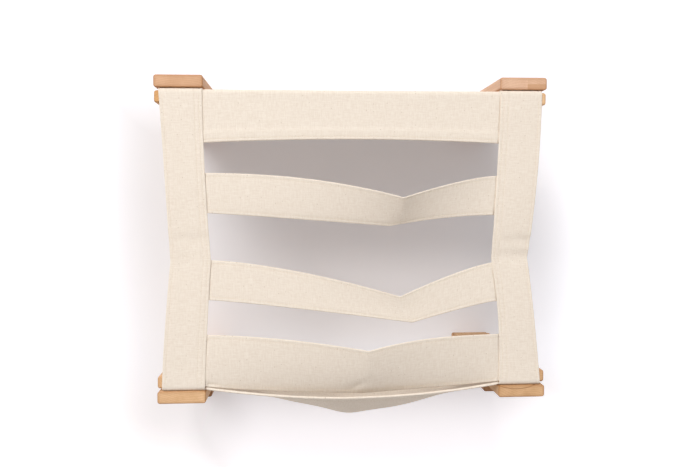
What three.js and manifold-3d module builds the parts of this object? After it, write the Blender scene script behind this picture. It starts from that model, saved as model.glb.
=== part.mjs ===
// Wall-hung cat cabin. Four wooden arms stand out from the wall on wall blocks. Each arm is two
// boards with canvas clamped between them. The canvas makes a roof, a floor and a front of two
// side strips and four cross bands. Both ends and the wall side are open.
// Millimetres, +z up. The wall is the plane y = 0, the front faces -y and x = 0 is the middle.

import * as THREE from 'three';
import { mergeVertices } from 'three/addons/utils/BufferGeometryUtils.js';
import Module from 'manifold-3d';

const wasm = await Module();
wasm.setup();

// Whole cabin
const armSpacing = 406.4;
const frameHeight = 384;
const armLength = 280;
const fit = 0.3;
const overrun = 5;

// Arm boards
const boardWidth = 56.5;
const boardThickness = 14.5;
const boardEdgeRadius = 3;
const outerBoardEndRound = 1.2;
const innerBoardEndRound = 1.9;

// Support rails under the lower arms
const railWidth = 50;
const railThickness = 14.5;
const railSetback = 85;

// Wall blocks
const blockDepth = 20;
const blockEdgeRadius = 3;
const blockEndRound = 1.2;
const upperBlockRise = 22;
const upperBlockDrop = 20;
const lowerBlockStep = 2.2;
const lowerBlockDrop = 33;
const lowerLagSpread = 21;

// Canvas
const cloth = 1.1;
const stripWidth = 50;
const stripInset = 5.6;
const stripTuck = 40;
const seamReach = 9;
const backHemGap = 6;
const roofFrontSag = 0.2;
const roofBelly = 4;

// The floor hangs down between the lower arms: a little at its front edge, further inside
const floorFront = { sag: 12.5, lowShare: -0.057, bowShares: [1.7, 1.45] };
const floorBelly = { sag: 46, lowShare: 0.12, bowShares: [1.7, 1.7] };

// The side strips are drawn in towards the middle at a waist
const waistShare = 0.568;
const leftStrip = {
  side: -1,
  outerPull: 11.4,
  innerPull: 6.9,
  outerBowShares: [0.9, 1.3],
  innerBowShares: [1.7, 1.2],
};
const rightStrip = {
  side: 1,
  outerPull: 16.5,
  innerPull: 11.5,
  outerBowShares: [1.6, 1.1],
  innerBowShares: [1.2, 2.6],
};

// Top band, hung from the fold at the front of the roof
const topBandDrop = 61.6;
const topBandArch = 4.6;

// The two straps. Use has left a dip in each, where its top edge also leans forward.
const strapWidth = 47;
const upperStrap = {
  centreShare: 0.347,
  topDip: 26.7,
  topDipShare: 0.326,
  topBowShares: [2.3, 1.4],
  bottomDip: 14,
  bottomDipShare: 0.246,
  bottomBowShares: [1.1, 1.8],
  lean: 20,
  leanBowShares: [2, 1.1],
  leanFallShare: 1.3,
};
const lowerStrap = {
  centreShare: 0.637,
  topDip: 41,
  topDipShare: 0.314,
  topBowShares: [1.55, 1.3],
  bottomDip: 25.6,
  bottomDipShare: 0.4,
  bottomBowShares: [1.17, 1.15],
  lean: 9,
  leanBowShares: [2, 2],
  leanFallShare: 2,
};

// Bottom band, just above the front edge of the floor
const bottomBandWidth = 59.6;
const bottomBandLift = 2.2;
const bottomBand = {
  topDip: 16.7,
  topDipShare: 0.08,
  topBowShares: [1.7, 2.7],
  bottomDip: 11.5,
  bottomDipShare: 0.05,
  bottomBowShares: [0.58, 0.53],
  lean: 14,
  leanBowShares: [1, 0.6],
  leanFallShare: 1.2,
};

// Fasteners
const clampScrew = { length: 28, radius: 2, headRadius: 4.2, headDepth: 2.8, tip: 4 };
const railScrew = { length: 24.5, radius: 2, headRadius: 4.2, headDepth: 2.8, tip: 4 };
const armScrew = { length: 50, radius: 2.4, headRadius: 4.8, headDepth: 3.2, tip: 5 };
const recess = { reach: 4.6, width: 1.3, depth: 1.8 };
const lagScrew = {
  length: 62,
  radius: 4,
  headRadius: 7.5,
  headHeight: 5.5,
  flangeRadius: 8.5,
  flangeHeight: 1.6,
  tip: 8,
};
const headSink = 0.3;
const clampShares = { front: 0.08, middle: 0.44, back: 0.8 };
const railScrewShares = { front: [0.2, -0.22], back: [0.85, 0.22] };
const boardScrewShares = { outer: 0.5, inner: 0.6 };

// Counts of facets
const screwSides = 8;
const lagSides = 12;
const spanSteps = 20;
const depthSteps = 8;
const dropSteps = 4;
const foldSteps = 3;
const stripSteps = 16;
const stripColumns = 4;

// Places that several pieces share
const armX = armSpacing / 2;
const outerFace = frameHeight / 2;
const clampOuter = outerFace - boardThickness;
const clampGap = 2 * cloth + 3 * fit;
const clampInner = clampOuter - clampGap;
const innerFace = clampInner - boardThickness;
const frontY = -armLength;
const boardEndY = -blockDepth - fit;
const backHemY = boardEndY - backHemGap;
const halfClear = armX - boardWidth / 2;
const stripOuterX = armX + boardWidth / 2 - stripInset;
const stripInnerX = stripOuterX - stripWidth;
const stripLayer = clampOuter - fit;
const sheetLayer = stripLayer - cloth - fit;
const sheetFrontY = frontY + cloth + fit;
const innerBoardFrontY = sheetFrontY + cloth + fit;
const foldY = innerBoardFrontY + innerBoardEndRound;
const foldZ = clampInner - innerBoardEndRound;
const sheetFoldRadius = innerBoardEndRound + fit + cloth;
const stripFoldRadius = sheetFoldRadius + fit + cloth;
const waistZ = stripLayer - 2 * stripLayer * waistShare;
const railOuter = outerFace + fit + railThickness;
const upperLags = {
  top: { across: 0, z: outerFace + upperBlockRise / 2 },
  bottom: { across: 0, z: innerFace - upperBlockDrop / 2 },
};
const lowerLags = {
  left: { across: -lowerLagSpread / 2, z: railOuter + lowerBlockDrop / 2 },
  right: { across: lowerLagSpread / 2, z: railOuter + lowerBlockDrop / 2 },
};

const arms = [
  { name: 'upper_left', side: -1, level: 1 },
  { name: 'upper_right', side: 1, level: 1 },
  { name: 'lower_left', side: -1, level: -1 },
  { name: 'lower_right', side: 1, level: -1 },
];

// Solids and meshes

// Turns a three.js geometry into a solid, with shared vertices merged and no empty facets.
function solidOf(geometry) {
  const bare = new THREE.BufferGeometry();
  bare.setAttribute('position', geometry.getAttribute('position').clone());
  if (geometry.index) bare.setIndex(geometry.index.clone());
  const merged = mergeVertices(bare, fit / 1000);
  const corners = merged.index.array;
  const kept = [];
  for (let i = 0; i < corners.length; i += 3) {
    const [a, b, c] = [corners[i], corners[i + 1], corners[i + 2]];
    if (a !== b && b !== c && c !== a) kept.push(a, b, c);
  }
  const vertProperties = Float32Array.from(merged.getAttribute('position').array);
  const triVerts = Uint32Array.from(kept);
  return new wasm.Manifold(new wasm.Mesh({ numProp: 3, vertProperties, triVerts }));
}

function geometryOf(solid) {
  const mesh = solid.getMesh();
  const geometry = new THREE.BufferGeometry();
  geometry.setAttribute('position', new THREE.BufferAttribute(mesh.vertProperties, 3));
  geometry.setIndex(new THREE.BufferAttribute(mesh.triVerts, 1));
  return geometry;
}

function cutAll(solid, cutters) {
  return cutters.reduce((left, cutter) => left.subtract(cutter), solid);
}

function wood() {
  return new THREE.MeshStandardMaterial({ color: 0xd4a878, roughness: 0.62, metalness: 0 });
}

function canvas() {
  return new THREE.MeshStandardMaterial({ color: 0xf0e4d4, roughness: 0.95, metalness: 0 });
}

function zincSteel() {
  return new THREE.MeshStandardMaterial({ color: 0xb4b6b8, roughness: 0.35, metalness: 1 });
}

function node(name, solid, material) {
  const geometry = geometryOf(solid).toNonIndexed();
  geometry.computeVertexNormals();
  const mesh = new THREE.Mesh(geometry, material);
  mesh.name = name;
  return mesh;
}

// Wooden pieces

function roundedRectangle(width, height, radius) {
  const x = width / 2;
  const y = height / 2;
  const shape = new THREE.Shape();
  shape.moveTo(-x + radius, -y);
  shape.lineTo(x - radius, -y);
  shape.absarc(x - radius, -y + radius, radius, -Math.PI / 2, 0);
  shape.absarc(x - radius, y - radius, radius, 0, Math.PI / 2);
  shape.absarc(-x + radius, y - radius, radius, Math.PI / 2, Math.PI);
  shape.absarc(-x + radius, -y + radius, radius, Math.PI, 1.5 * Math.PI);
  return shape;
}

// A board with rounded edges that runs along y, centred on x and z.
function board({ width, height, radius, endRound, fromY, toY, x, z }) {
  const geometry = new THREE.ExtrudeGeometry(roundedRectangle(width, height, radius), {
    depth: toY - fromY - 2 * endRound,
    bevelThickness: endRound,
    bevelSize: endRound,
    bevelOffset: -endRound,
    bevelSegments: 2,
    curveSegments: 3,
  });
  geometry.rotateX(Math.PI / 2);
  geometry.translate(x, toY - endRound, z);
  return solidOf(geometry);
}

function outerBoard(arm) {
  return board({
    width: boardWidth,
    height: boardThickness,
    radius: boardEdgeRadius,
    endRound: outerBoardEndRound,
    fromY: frontY,
    toY: boardEndY,
    x: arm.side * armX,
    z: arm.level * (outerFace + clampOuter) / 2,
  });
}

function innerBoard(arm) {
  return board({
    width: boardWidth,
    height: boardThickness,
    radius: boardEdgeRadius,
    endRound: innerBoardEndRound,
    fromY: innerBoardFrontY,
    toY: boardEndY,
    x: arm.side * armX,
    z: arm.level * (clampInner + innerFace) / 2,
  });
}

function supportRail(arm) {
  return board({
    width: railWidth,
    height: railThickness,
    radius: boardEdgeRadius,
    endRound: outerBoardEndRound,
    fromY: frontY + railSetback,
    toY: boardEndY,
    x: arm.side * armX,
    z: arm.level * (railOuter - railThickness / 2),
  });
}

function wallBlock(arm) {
  const outer = arm.level > 0 ? outerFace + upperBlockRise : railOuter + lowerBlockDrop;
  const inner = arm.level > 0 ? innerFace - upperBlockDrop : innerFace + lowerBlockStep;
  return board({
    width: boardWidth,
    height: outer - inner,
    radius: blockEdgeRadius,
    endRound: blockEndRound,
    fromY: -blockDepth,
    toY: 0,
    x: arm.side * armX,
    z: arm.level * (outer + inner) / 2,
  });
}

// Fasteners. Each points down -z from the origin before it is placed.

// A profile of radius and height, from the top down, turned about z.
function lathe(profile, sides) {
  const points = profile.map(([radius, height]) => new THREE.Vector2(radius, height));
  return new THREE.LatheGeometry(points.reverse(), sides).rotateX(Math.PI / 2);
}

function screwGeometry({ length, radius, headRadius, headDepth, tip }) {
  const body = solidOf(lathe([
    [0, 0],
    [headRadius, 0],
    [radius, -headDepth],
    [radius, tip - length],
    [0, -length],
  ], screwSides));
  const slots = [0, Math.PI / 2].map((turn) => {
    const slot = new THREE.BoxGeometry(recess.reach, recess.width, 2 * recess.depth);
    return solidOf(slot.rotateZ(turn));
  });
  return geometryOf(cutAll(body, slots));
}

// The hole that a countersunk screw needs in all that it passes through.
function screwHole({ length, radius, headRadius, headDepth, tip }) {
  return lathe([
    [0, overrun],
    [headRadius + fit, overrun],
    [headRadius + fit, 0],
    [radius + fit, -headDepth],
    [radius + fit, tip - length],
    [0, -length - 2 * fit],
  ], screwSides);
}

// A hex head on a round flange. The flange's underside is at the origin.
function lagGeometry(screw) {
  const { length, radius, headRadius, headHeight, flangeRadius, flangeHeight, tip } = screw;
  const head = new THREE.CylinderGeometry(headRadius, headRadius, headHeight, 6);
  head.rotateX(Math.PI / 2);
  head.translate(0, 0, flangeHeight + (headHeight - flangeHeight) / 2);
  const shank = lathe([
    [0, flangeHeight],
    [flangeRadius, flangeHeight],
    [flangeRadius, 0],
    [radius, 0],
    [radius, tip - length],
    [0, -length],
  ], lagSides);
  return geometryOf(solidOf(head).add(solidOf(shank)));
}

function lagHole({ length, radius }) {
  return lathe([
    [0, overrun],
    [radius + fit, overrun],
    [radius + fit, -length],
    [0, -length],
  ], lagSides);
}

// Places for fasteners, by name: a point and the turn about x that aims -z along the screw.

function clampPlaces(arm) {
  return Object.entries(clampShares).map(([name, share]) => ({
    name: `clamp_screw_${name}`,
    x: arm.side * armX,
    y: frontY + share * (boardEndY - frontY),
    z: arm.level * (outerFace - headSink),
    turn: arm.level > 0 ? 0 : Math.PI,
  }));
}

function railScrewPlaces(arm) {
  if (arm.level > 0) return [];
  const railFrontY = frontY + railSetback;
  return Object.entries(railScrewShares).map(([name, [along, across]]) => ({
    name: `rail_screw_${name}`,
    x: arm.side * (armX + across * railWidth),
    y: railFrontY + along * (boardEndY - railFrontY),
    z: arm.level * (railOuter - headSink),
    turn: Math.PI,
  }));
}

function boardScrewPlaces(arm) {
  const faces = { outer: clampOuter, inner: innerFace };
  return Object.entries(boardScrewShares).map(([name, share]) => ({
    name: `${name}_board_screw`,
    x: arm.side * armX,
    y: -headSink,
    z: arm.level * (faces[name] + share * boardThickness),
    turn: -Math.PI / 2,
  }));
}

function lagPlaces(arm) {
  const lags = arm.level > 0 ? upperLags : lowerLags;
  return Object.entries(lags).map(([name, { across, z }]) => ({
    name: `lag_screw_${name}`,
    x: arm.side * armX + across,
    y: -blockDepth - fit,
    z: arm.level * z,
    turn: Math.PI / 2,
  }));
}

function placed(geometry, { x, y, z, turn }) {
  return solidOf(geometry.clone().rotateX(turn).translate(x, y, z));
}

function placedAll(geometry, places) {
  return places.map((place) => placed(geometry, place));
}

// Canvas pieces

// Negative where the facets point inwards.
function enclosedVolume(points, corners) {
  const at = (index) => new THREE.Vector3().fromArray(points, 3 * index);
  let total = 0;
  for (let i = 0; i < corners.length; i += 3) {
    total += at(corners[i]).dot(at(corners[i + 1]).cross(at(corners[i + 2])));
  }
  return total / 6;
}

// A closed sheet. place(column, row, face) gives a point of the outer face, 0, or inner face, 1.
function sheet(columns, rows, place) {
  const points = [];
  const at = (column, row, face) => (face * (rows + 1) + row) * (columns + 1) + column;
  for (const face of [0, 1]) {
    for (let row = 0; row <= rows; row += 1) {
      for (let column = 0; column <= columns; column += 1) {
        points.push(...place(column, row, face));
      }
    }
  }
  const corners = [];
  const quad = (a, b, c, d) => corners.push(a, b, c, a, c, d);
  for (let row = 0; row < rows; row += 1) {
    for (let column = 0; column < columns; column += 1) {
      const [right, down] = [column + 1, row + 1];
      quad(at(column, row, 0), at(column, down, 0), at(right, down, 0), at(right, row, 0));
      quad(at(column, row, 1), at(right, row, 1), at(right, down, 1), at(column, down, 1));
    }
  }
  for (let column = 0; column < columns; column += 1) {
    const right = column + 1;
    quad(at(column, 0, 0), at(right, 0, 0), at(right, 0, 1), at(column, 0, 1));
    quad(at(column, rows, 0), at(column, rows, 1), at(right, rows, 1), at(right, rows, 0));
  }
  for (let row = 0; row < rows; row += 1) {
    const down = row + 1;
    quad(at(0, row, 0), at(0, row, 1), at(0, down, 1), at(0, down, 0));
    quad(at(columns, row, 0), at(columns, down, 0), at(columns, down, 1), at(columns, row, 1));
  }
  if (enclosedVolume(points, corners) < 0) corners.reverse();
  const geometry = new THREE.BufferGeometry();
  geometry.setAttribute('position', new THREE.Float32BufferAttribute(points, 3));
  geometry.setIndex(corners);
  return solidOf(geometry);
}

// 0 over the arms, 1 in the middle of the clear span between them.
function spanShape(x) {
  return Math.max(0, 1 - (x / halfClear) ** 2);
}

// 0 over the arms and 1 at the lowest place, with a bow on either side of it.
function hangShape(x, { lowShare, bowShares }) {
  const lowX = lowShare * halfClear;
  const end = x < lowX ? -halfClear : halfClear;
  const share = Math.min(1, (x - lowX) / (end - lowX));
  return 1 - share ** bowShares[x < lowX ? 0 : 1];
}

// The x of each column of a sheet that spans the cabin and lies between the boards.
function spanX(column) {
  if (column === 0) return -stripOuterX;
  if (column === spanSteps) return stripOuterX;
  return halfClear * (2 * (column - 1) / (spanSteps - 2) - 1);
}

function roofDip(x, depthShare) {
  return spanShape(x) * (roofFrontSag + roofBelly * Math.sin(Math.PI * depthShare));
}

function roofCanvas() {
  const startY = foldY + fit;
  return sheet(spanSteps, depthSteps, (column, row, face) => {
    const x = spanX(column);
    const share = row / depthSteps;
    const y = startY + share * (backHemY - startY);
    return [x, y, sheetLayer - roofDip(x, share) - face * cloth];
  });
}

// Its front edge stops at the fold over the arms and comes forward between them.
function floorCanvas() {
  return sheet(spanSteps, depthSteps, (column, row, face) => {
    const x = spanX(column);
    const share = row / depthSteps;
    const edgeY = Math.abs(x) < halfClear ? sheetFrontY : foldY;
    const y = backHemY + share * (edgeY - backHemY);
    const front = floorFront.sag * hangShape(x, floorFront);
    const belly = floorBelly.sag * hangShape(x, floorBelly) * Math.sin(Math.PI * share);
    return [x, y, -sheetLayer - front - belly + face * cloth];
  });
}

// How far the strip's edge is drawn in at a height, with a bow above and below the waist.
function stripPull(z, pull, bowShares) {
  const above = z > waistZ;
  const end = above ? foldZ : -foldZ;
  const share = Math.min(1, Math.max(0, (z - end) / (waistZ - end)));
  return pull * share ** bowShares[above ? 0 : 1];
}

function stripOuterEdge(strip, z) {
  return stripOuterX - stripPull(z, strip.outerPull, strip.outerBowShares);
}

function stripInnerEdge(strip, z) {
  return stripInnerX - stripPull(z, strip.innerPull, strip.innerBowShares);
}

// Down the front of an arm from its fold: the point at each step and the way to the inner face.
function foldPoint(radius, angle) {
  const [sine, cosine] = [Math.sin(angle), Math.cos(angle)];
  return { y: foldY - radius * sine, z: foldZ + radius * cosine, inY: sine, inZ: -cosine };
}

function mirrored({ y, z, inY, inZ }) {
  return { y, z: -z, inY, inZ: -inZ };
}

function stripPath() {
  const bend = [];
  for (let step = 0; step <= foldSteps; step += 1) {
    bend.push(foldPoint(stripFoldRadius, Math.PI / 2 * step / foldSteps));
  }
  const tuck = { ...bend[0], y: frontY + stripTuck };
  const top = [tuck, ...bend];
  const middle = [];
  for (let step = 1; step < stripSteps; step += 1) {
    const z = foldZ - 2 * foldZ * step / stripSteps;
    middle.push({ y: frontY, z, inY: 1, inZ: 0 });
  }
  return [...top, ...middle, ...top.map(mirrored).reverse()];
}

function sideStrip(strip) {
  const path = stripPath();
  return sheet(stripColumns, path.length - 1, (column, row, face) => {
    const { y, z, inY, inZ } = path[row];
    const inner = stripInnerEdge(strip, z);
    const outer = stripOuterEdge(strip, z);
    const x = inner + (outer - inner) * column / stripColumns;
    return [strip.side * x, y + face * cloth * inY, z + face * cloth * inZ];
  });
}

// Where a cross band meets the inner edges of the strips that its ends are sewn behind.
function bandEnds(z) {
  return [-stripInnerEdge(leftStrip, z), stripInnerEdge(rightStrip, z)];
}

// The x of each column of a band: its ends reach on behind the strips.
function bandX(column, ends) {
  if (column === 0) return ends[0] - seamReach;
  if (column === spanSteps) return ends[1] + seamReach;
  return ends[0] + (ends[1] - ends[0]) * (column - 1) / (spanSteps - 2);
}

// Share of the way from the end of a band to its dip, 1 at the dip.
function dipShare(x, ends, dipX) {
  const end = x < dipX ? ends[0] : ends[1];
  return Math.max(0, (x - end) / (dipX - end));
}

function dip(x, ends, depth, placeShare, bowShares) {
  const dipX = placeShare * halfClear;
  return depth * dipShare(x, ends, dipX) ** bowShares[x < dipX ? 0 : 1];
}

function topBand() {
  const ends = bandEnds(foldZ);
  const rows = foldSteps + dropSteps;
  return sheet(spanSteps, rows, (column, row, face) => {
    const x = bandX(column, ends);
    const top = -roofDip(x, 0);
    const angle = Math.PI / 2 * Math.min(1, row / foldSteps);
    const { y, z, inY, inZ } = foldPoint(sheetFoldRadius, angle);
    const share = Math.max(0, row - foldSteps) / dropSteps;
    const drop = share * (topBandDrop - sheetFoldRadius - topBandArch * spanShape(x));
    return [x, y + face * cloth * inY, z + top - drop + face * cloth * inZ];
  });
}

// A cross band between two level ends, with a dip in its top and bottom edges. Its top edge leans
// forward where it dips.
function crossBand(band, topZ, bottomZ) {
  const ends = bandEnds((topZ + bottomZ) / 2);
  return sheet(spanSteps, dropSteps, (column, row, face) => {
    const x = bandX(column, ends);
    const top = topZ - dip(x, ends, band.topDip, band.topDipShare, band.topBowShares);
    const bottom = bottomZ
      - dip(x, ends, band.bottomDip, band.bottomDipShare, band.bottomBowShares);
    const share = row / dropSteps;
    const bulge = dip(x, ends, band.lean, band.topDipShare, band.leanBowShares);
    const lean = bulge * (1 - share) ** band.leanFallShare;
    return [x, sheetFrontY - lean + face * cloth, top + (bottom - top) * share];
  });
}

function strap(band) {
  const centreZ = stripLayer - 2 * stripLayer * band.centreShare;
  return crossBand(band, centreZ + strapWidth / 2, centreZ - strapWidth / 2);
}

function lowestBand() {
  const bottomZ = cloth - sheetLayer + bottomBandLift;
  return crossBand(bottomBand, bottomZ + bottomBandWidth, bottomZ);
}

// Assembly

const fasteners = {
  clamp: { geometry: screwGeometry(clampScrew), hole: screwHole(clampScrew), places: clampPlaces },
  rail: { geometry: screwGeometry(railScrew), hole: screwHole(railScrew), places: railScrewPlaces },
  arm: { geometry: screwGeometry(armScrew), hole: screwHole(armScrew), places: boardScrewPlaces },
  lag: { geometry: lagGeometry(lagScrew), hole: lagHole(lagScrew), places: lagPlaces },
};

function holesFor(arm, ...kinds) {
  return kinds.flatMap((kind) => {
    const { hole, places } = fasteners[kind];
    return placedAll(hole, places(arm));
  });
}

function armPieces(arm) {
  const boardHoles = holesFor(arm, 'clamp', 'arm', 'rail');
  const pieces = new THREE.Group();
  const add = (part, solid) => pieces.add(node(`${arm.name}_${part}`, solid, wood()));
  add('outer_board', cutAll(outerBoard(arm), boardHoles));
  add('inner_board', cutAll(innerBoard(arm), boardHoles));
  if (arm.level < 0) add('support_rail', cutAll(supportRail(arm), holesFor(arm, 'rail')));
  add('wall_block', cutAll(wallBlock(arm), holesFor(arm, 'arm', 'lag')));
  return pieces;
}

function fastenerPieces(arm) {
  const pieces = new THREE.Group();
  for (const { geometry, places } of Object.values(fasteners)) {
    for (const place of places(arm)) {
      pieces.add(node(`${arm.name}_${place.name}`, placed(geometry, place), zincSteel()));
    }
  }
  return pieces;
}

function canvasPieces() {
  const holes = arms.flatMap((arm) => holesFor(arm, 'clamp'));
  const pieces = new THREE.Group();
  const add = (name, solid) => pieces.add(node(name, cutAll(solid, holes), canvas()));
  add('roof_canvas', roofCanvas());
  add('floor_canvas', floorCanvas());
  add('left_side_strip', sideStrip(leftStrip));
  add('right_side_strip', sideStrip(rightStrip));
  add('top_band', topBand());
  add('upper_strap', strap(upperStrap));
  add('lower_strap', strap(lowerStrap));
  add('bottom_band', lowestBand());
  return pieces;
}

const cabin = new THREE.Group();
for (const arm of arms) cabin.add(armPieces(arm), fastenerPieces(arm));
cabin.add(canvasPieces());

export default cabin;
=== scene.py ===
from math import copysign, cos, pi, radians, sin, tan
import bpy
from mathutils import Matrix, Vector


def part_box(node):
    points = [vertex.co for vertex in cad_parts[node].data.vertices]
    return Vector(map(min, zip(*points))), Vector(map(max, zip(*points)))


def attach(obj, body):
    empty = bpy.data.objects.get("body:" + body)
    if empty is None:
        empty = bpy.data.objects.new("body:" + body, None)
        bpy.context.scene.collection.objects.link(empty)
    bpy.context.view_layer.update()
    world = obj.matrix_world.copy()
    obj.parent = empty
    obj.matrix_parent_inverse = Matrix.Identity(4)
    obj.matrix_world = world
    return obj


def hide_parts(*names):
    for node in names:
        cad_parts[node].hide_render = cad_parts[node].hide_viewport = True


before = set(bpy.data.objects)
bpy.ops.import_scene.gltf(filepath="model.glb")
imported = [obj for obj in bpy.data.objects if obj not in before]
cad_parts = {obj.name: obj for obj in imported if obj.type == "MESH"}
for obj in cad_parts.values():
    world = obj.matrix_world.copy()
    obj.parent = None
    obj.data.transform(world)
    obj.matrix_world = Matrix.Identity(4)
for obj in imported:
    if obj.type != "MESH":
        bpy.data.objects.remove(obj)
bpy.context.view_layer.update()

# A wall-hung cabin bed. Four wooden arms clamp the canvas that makes its roof, floor and front.
# Metres, +Z up. The wall is the plane Y = 0, the front faces -Y and X = 0 is the middle.

from types import SimpleNamespace as Values

import bmesh
import bpy
import numpy as np
from mathutils import Matrix, Vector

MM = 0.001
QUARTER = pi / 2
FINISHED = "_finished"
SQUARE = ((-1, -1), (1, -1), (1, 1), (-1, 1))

# Places taken from the frame
OUTER_LOW, OUTER_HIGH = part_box("upper_right_outer_board")
INNER_LOW, INNER_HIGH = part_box("upper_right_inner_board")
ARM_X = (OUTER_LOW.x + OUTER_HIGH.x) / 2
HALF_CLEAR = OUTER_LOW.x
FRONT_Y = OUTER_LOW.y
CLAMP_INNER = INNER_HIGH.z
BACK_HEM_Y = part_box("roof_canvas")[1].y
STRIP_OUTER_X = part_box("roof_canvas")[1].x
TUCK_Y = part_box("right_side_strip")[1].y

# Canvas, in the same forms as its solids in the frame
CLOTH = 1.1 * MM
LAYER_GAP = 0.3 * MM
INNER_ROUND = 1.9 * MM
STRIP_WIDTH = 50 * MM
SEAM_REACH = 9 * MM
STRIP_INNER_X = STRIP_OUTER_X - STRIP_WIDTH
FOLD_Y = INNER_LOW.y + INNER_ROUND
FOLD_Z = CLAMP_INNER - INNER_ROUND
SHEET_FOLD = INNER_ROUND + LAYER_GAP + CLOTH / 2
STRIP_FOLD = SHEET_FOLD + CLOTH + LAYER_GAP
SHEET_Z = FOLD_Z + SHEET_FOLD
SHEET_Y = FOLD_Y - SHEET_FOLD
STRIP_Z = FOLD_Z + STRIP_FOLD

# A cloth's wrinkles are their height and the seed of their random numbers
ROOF_FRONT_SAG = 0.2 * MM
ROOF_BELLY = 4 * MM
ROOF_WRINKLES = (0.5 * MM, 3)
TOP_BAND_DROP = 61.6 * MM
TOP_BAND_ARCH = 4.6 * MM
TOP_BAND_EASE = 10 * MM
FLOOR_FRONT = Values(sag=13.7 * MM, low=-0.057, bows=(1.8, 2.1))
FLOOR_BELLY = Values(sag=44 * MM, low=0.16, bows=(1.9, 1.9))
FLOOR_DENT = Values(sag=6 * MM, x=-3 * MM, width=27 * MM)
FLOOR_WRINKLES = (0.8 * MM, 11)
ARM_EDGE = 2 * MM

WAIST_SHARE = 0.568
WAIST_Z = STRIP_Z * (1 - 2 * WAIST_SHARE)
LEFT_STRIP = Values(
    side=-1,
    outer=(10.8 * MM, (0.9, 1.3)),
    inner=(8.2 * MM, (1.7, 1.2)),
    crease=3.2 * MM,
    folds=((2.4 * MM, 1.2 * MM, 0.5 * MM),),
    wrinkles=(0.45 * MM, 21),
)
RIGHT_STRIP = Values(
    side=1,
    outer=(14.8 * MM, (1.6, 1.1)),
    inner=(10.2 * MM, (1.2, 2.6)),
    crease=5 * MM,
    folds=((-1.5 * MM, 0.2 * MM, 1.8 * MM), (-18.5 * MM, 0.4 * MM, 1.5 * MM)),
    wrinkles=(0.45 * MM, 31),
)
CREASE = Values(reach=42 * MM, blunt=5 * MM, inner=0.45, growth=0.75)
FOLD_WIDTHS = (4.5 * MM, 9 * MM)

STRAP_WIDTH = 47 * MM
UPPER_STRAP_SHARE = 0.347
UPPER_STRAP_DROP = 0.5 * MM
LOWER_STRAP_SHARE = 0.637
LOWER_STRAP_DROP = 1 * MM
BOTTOM_BAND_WIDTH = 59.6 * MM
BOTTOM_BAND_LIFT = 2.2 * MM
BAND_SLACK = 1.02
UPPER_STRAP = Values(
    middle=STRIP_Z * (1 - 2 * UPPER_STRAP_SHARE) - UPPER_STRAP_DROP,
    tilt=(3.5 * MM, 3.5 * MM),
    width=STRAP_WIDTH,
    top=(26.7 * MM, (2.3, 1.4)),
    top_low=0.326,
    bottom=(14 * MM, (1.1, 1.8)),
    bottom_low=0.246,
    lean=(19.7 * MM, (2, 0.85)),
    lean_fall=1.3,
    tuck=(4 * MM, (0.8, 0.8)),
    tuck_rise=4,
    wrinkles=(0.5 * MM, 41),
)
LOWER_STRAP = Values(
    middle=STRIP_Z * (1 - 2 * LOWER_STRAP_SHARE) - LOWER_STRAP_DROP,
    tilt=(5 * MM, 5 * MM),
    width=STRAP_WIDTH,
    top=(41 * MM, (1.55, 1.3)),
    top_low=0.314,
    bottom=(25.6 * MM, (1.17, 1.15)),
    bottom_low=0.4,
    lean=(5 * MM, (2, 2)),
    lean_fall=2,
    tuck=(-2 * MM, (0.8, 0.8)),
    tuck_rise=1.5,
    wrinkles=(0.5 * MM, 51),
)
BOTTOM_BAND = Values(
    middle=BOTTOM_BAND_LIFT - SHEET_Z + CLOTH / 2 + BOTTOM_BAND_WIDTH / 2,
    tilt=(3.5 * MM, 0),
    width=BOTTOM_BAND_WIDTH,
    top=(16.7 * MM, (1.9, 2.7)),
    top_low=0.093,
    bottom=(14.5 * MM, (0.6, 0.75)),
    bottom_low=0.05,
    lean=(18 * MM, (1, 0.6)),
    lean_fall=1.1,
    tuck=(13 * MM, (0.4, 0.4)),
    tuck_rise=3.2,
    wrinkles=(0.5 * MM, 61),
)
BAND_PINCH = Values(x=-170 * MM, z=-170.5 * MM, depth=1.2 * MM, width=5 * MM, height=1.6 * MM)
BAND_FOLD = Values(
    x=3 * MM,
    z=-173.5 * MM,
    turn=radians(27),
    aside=-2 * MM,
    depth=1.8 * MM,
    length=12 * MM,
    width=4 * MM,
)

# How the canvas is finished, and how finely it is made
BROAD_WRINKLE = 60 * MM
SMALL_WRINKLE = 14 * MM
SMALL_SHARE = 0.22
FREE_EASE = 30 * MM
BAND_DOUBLING = 0.4 * MM
RIM_STEPS = 4
FINE_STEP = 2.5 * MM
SEAM_LINES = (-2, -1, 0, 1, 2)
CLEAR_SHARE = 0.4
GRID_DECIMALS = 7
CUT_PLACES = 201
HEM_WIDTH = 13 * MM
HEM_EXTRA = 0.7 * MM
HEM_STEP = 1.5 * MM
BEAD_RADIUS = 1.55 * MM
EDGE_SEAM = 4 * MM
SECOND_SEAM = 9.5 * MM
SEAM_HALF = 0.5 * MM
SEAM_SPREAD = 1.6 * SEAM_HALF
SEAM_SINK = 0.2 * MM
STITCH_PITCH = 3.6 * MM
STITCH_LENGTH = 2.9 * MM
THREAD_RADIUS = 0.24 * MM
TUCKED = 45 * MM
ROOF_JOIN_LINES = (2 * MM, -0.5 * MM)
BAND_JOIN_LINES = (-1.5 * MM, 1 * MM)
GROOVE = Values(left=0.5 * MM, right=1.1 * MM, width=0.8 * MM, place=0.2 * MM)


# Noise and steps


def eased(share):
    """A share from 0 to 1 again, with a smooth start and end."""
    return share * share * (3 - 2 * share)


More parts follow.
